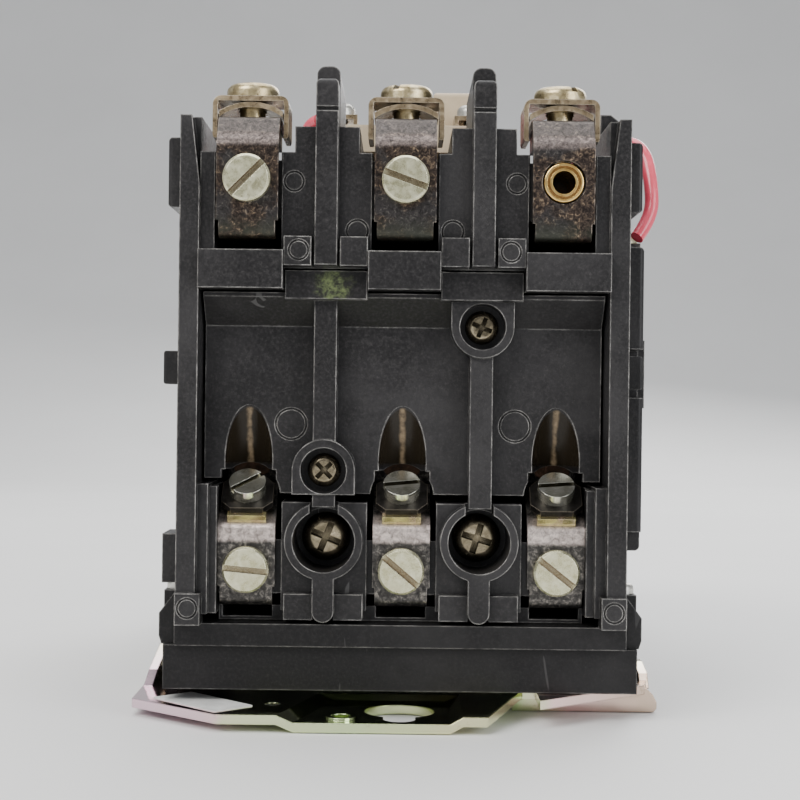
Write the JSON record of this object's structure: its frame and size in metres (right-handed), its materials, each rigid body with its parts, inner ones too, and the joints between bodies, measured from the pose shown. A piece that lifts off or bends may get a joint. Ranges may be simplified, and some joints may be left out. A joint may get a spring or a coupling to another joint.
{
  "type": "magnetic motor starter",
  "caption": "Magnetic motor starter on a keyhole mounting plate: line end with screw and saddle terminals, electromagnet with sliding contact carrier, auxiliary block and overload relay",
  "frame": {"origin": "Under the middle of the mounting plate, on the surface that its feet stand on", "axes": "+X across the three poles, -Y towards the line end, +Z away from the mounting panel"},
  "size_m": [0.1044, 0.176, 0.127],
  "materials": {
    "zinc_plate": "zinc plated and yellow passivated, iridescent sheared edges",
    "label": "blank paper label",
    "phenolic": "black moulded phenolic with worn pale edges",
    "steel_screw": "plated steel",
    "dark_screw": "dull plated steel",
    "aged_copper": "tarnished plated copper",
    "tinned_copper": "tinned copper, dulled",
    "bright_copper": "copper",
    "brass": "turned brass",
    "zinc_screw": "zinc plated, pale yellow passivated",
    "tan_steel": "yellow passivated steel, dulled to tan",
    "dark_steel": "blackened steel",
    "gold_steel": "yellow passivated steel",
    "bright_screw": "bright plated steel",
    "silver": "silver alloy tips",
    "carrier_plastic": "black moulded plastic",
    "spring_steel": "spring steel",
    "laminated_steel": "stacked laminations",
    "rubber": "rubber",
    "cream_plastic": "cream moulded plastic",
    "winding": "varnished winding with tape",
    "heater_alloy": "resistance alloy",
    "reset_plastic": "red moulded plastic",
    "lever_plastic": "pale moulded plastic",
    "pink_wire": "pink insulation"
  },
  "bodies": {
    "frame": {"mounting_plate": "zinc_plate", "label_plate": "label", "base_housing": "phenolic", "plate_screws": "steel_screw", "contact_block": "phenolic", "contact_block_screws": "dark_screw", "contact_block_walls": "phenolic", "contact_block_base": "phenolic", "arc_barriers": "phenolic", "arc_cover": "phenolic", "cover_screws": "dark_screw", "line_straps": "aged_copper", "load_straps": "tinned_copper", "threaded_inserts": "brass", "line_strap_screws": "zinc_screw", "load_strap_screws": "zinc_screw", "saddle_clamps": "tan_steel", "pressure_plates": "tan_steel", "clamp_nuts": "dark_steel", "clamp_screws": "tan_steel", "load_clamp_plates": "gold_steel", "load_clamp_washers": "dark_steel", "load_clamp_screws": "bright_screw", "stationary_tips": "silver", "return_springs": "spring_steel", "magnet_core": "laminated_steel", "shading_rings": "bright_copper", "magnet_cushion": "rubber", "coil_bobbin": "cream_plastic", "coil_winding": "winding", "coil_clamps": "tan_steel", "coil_screws": "steel_screw", "magnet_cover": "phenolic", "aux_contact_block": "phenolic", "aux_block_screws": "steel_screw", "aux_terminals": "tinned_copper", "aux_terminal_screws": "zinc_screw", "overload_housing": "phenolic", "overload_cover": "phenolic", "load_conductors": "tinned_copper", "load_terminals": "tinned_copper", "heaters": "heater_alloy", "relay_screws": "zinc_screw", "load_out_clamps": "tan_steel", "load_out_screws": "zinc_screw", "reset_spring": "spring_steel", "trip_lever_pin": "steel_screw", "coil_wire": "pink_wire", "trip_wire": "pink_wire"},
    "carrier": {"contact_carrier": "carrier_plastic", "armature": "laminated_steel", "armature_pin": "steel_screw", "contact_springs": "spring_steel"},
    "bridge_1": {"bridge_contact_1": "bright_copper"},
    "bridge_2": {"bridge_contact_2": "bright_copper"},
    "bridge_3": {"bridge_contact_3": "bright_copper"},
    "aux_slider": {"aux_plunger": "carrier_plastic", "aux_bridge": "bright_copper"},
    "reset": {"reset_button": "reset_plastic"},
    "trip": {"trip_lever": "lever_plastic"}
  },
  "joints": [
    {"name": "carrier_travel", "type": "slide", "parent": "frame", "child": "carrier", "axis": [0, 1, 0], "range_m": [0, 0.0055], "stiffness_N_per_m": 900, "springref_m": -0.004, "deforming": ["return_springs", "contact_springs"]},
    {"name": "bridge_follow_1", "type": "slide", "parent": "carrier", "child": "bridge_1", "axis": [0, 1, 0], "range_m": [-0.00155, 0]},
    {"name": "bridge_follow_2", "type": "slide", "parent": "carrier", "child": "bridge_2", "axis": [0, 1, 0], "range_m": [-0.00155, 0]},
    {"name": "bridge_follow_3", "type": "slide", "parent": "carrier", "child": "bridge_3", "axis": [0, 1, 0], "range_m": [-0.00155, 0]},
    {"name": "aux_travel", "type": "slide", "parent": "frame", "child": "aux_slider", "axis": [0, 1, 0], "range_m": [0, 0.0055]},
    {"name": "reset_press", "type": "slide", "parent": "frame", "child": "reset", "axis": [0, 0, -1], "range_m": [0, 0.004], "stiffness_N_per_m": 400, "springref_m": -0.003, "deforming": ["reset_spring"]},
    {"name": "trip_swing", "type": "hinge", "parent": "frame", "child": "trip", "pos_m": [-0.02, 0.073, 0.0635], "axis": [1, 0, 0], "range_deg": [-12, 12]}
  ],
  "couplings": [
    {"joint": "bridge_follow_1", "follows": "carrier_travel", "ratio": -0.28182},
    {"joint": "bridge_follow_2", "follows": "carrier_travel", "ratio": -0.28182},
    {"joint": "bridge_follow_3", "follows": "carrier_travel", "ratio": -0.28182},
    {"joint": "aux_travel", "follows": "carrier_travel", "ratio": 1}
  ]
}
